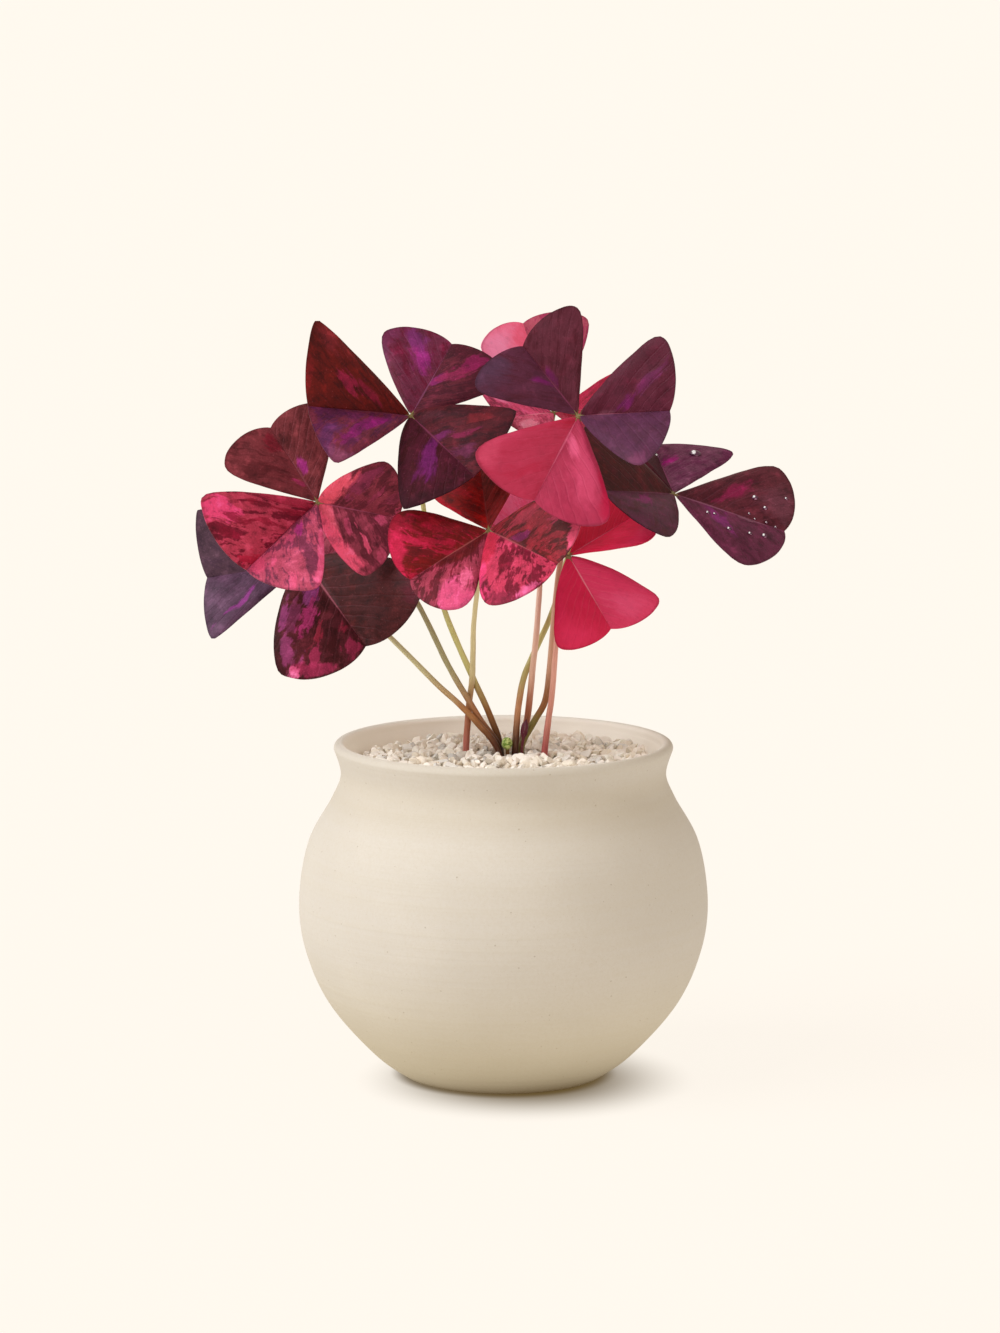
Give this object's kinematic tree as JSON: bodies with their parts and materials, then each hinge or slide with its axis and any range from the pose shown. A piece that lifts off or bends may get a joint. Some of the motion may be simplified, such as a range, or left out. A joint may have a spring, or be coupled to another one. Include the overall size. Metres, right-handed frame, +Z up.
{
  "type": "potted purple shamrock",
  "caption": "Variegated purple shamrock with triangular leaflets on long thin stalks, in a round stoneware pot dressed with gravel.",
  "frame": {"origin": "middle of the pot's flat foot, on the surface it stands on", "axes": "+Z up; -Y is the front, the side the picture shows; +X is the viewer's right"},
  "size_m": [0.1918, 0.1306, 0.2488],
  "materials": {
    "stoneware": "unglazed speckled cream stoneware, matte",
    "soil": "dark potting mix, matte",
    "gravel": "fine beige and grey gravel, matte",
    "rhizome": "scaly brown rhizome, matte",
    "green_sprout": "light green bud, satin",
    "olive_stem": "olive leaf stalk, satin",
    "tan_stem": "tan leaf stalk, satin",
    "pink_stem": "pink leaf stalk, satin",
    "purple_leaf": "dark purple leaf with magenta streaks, soft satin",
    "maroon_leaf": "dark maroon leaf with crimson and pink streaks, soft satin",
    "crimson_leaf": "crimson leaf, partly streaked with maroon, soft satin",
    "pink_leaf": "pink leaf, partly streaked with maroon, soft satin"
  },
  "bodies": {
    "root": {"pot": "stoneware", "potting_soil": "soil", "gravel_dressing": "gravel", "rhizome": "rhizome", "sprout": "green_sprout", "young_leaf": "purple_leaf", "upper_left_petiole": "olive_stem", "upper_left_leaflet_1": "maroon_leaf", "upper_left_leaflet_2": "purple_leaf", "upper_left_leaflet_3": "purple_leaf", "upper_right_petiole": "tan_stem", "upper_right_leaflet_1": "purple_leaf", "upper_right_leaflet_2": "maroon_leaf", "upper_right_leaflet_3": "crimson_leaf", "back_petiole": "pink_stem", "back_leaflet_1": "pink_leaf", "back_leaflet_2": "crimson_leaf", "back_leaflet_3": "pink_leaf", "right_petiole": "olive_stem", "right_leaflet_1": "purple_leaf", "right_leaflet_2": "maroon_leaf", "right_leaflet_3": "maroon_leaf", "low_right_petiole": "pink_stem", "low_right_leaflet_1": "crimson_leaf", "low_right_leaflet_2": "crimson_leaf", "low_right_leaflet_3": "pink_leaf", "middle_petiole": "tan_stem", "middle_leaflet_1": "crimson_leaf", "middle_leaflet_2": "crimson_leaf", "middle_leaflet_3": "pink_leaf", "left_petiole": "olive_stem", "left_leaflet_1": "maroon_leaf", "left_leaflet_2": "crimson_leaf", "left_leaflet_3": "pink_leaf", "low_left_petiole": "tan_stem", "low_left_leaflet_1": "purple_leaf", "low_left_leaflet_2": "maroon_leaf", "low_left_leaflet_3": "purple_leaf"}
  },
  "joints": []
}
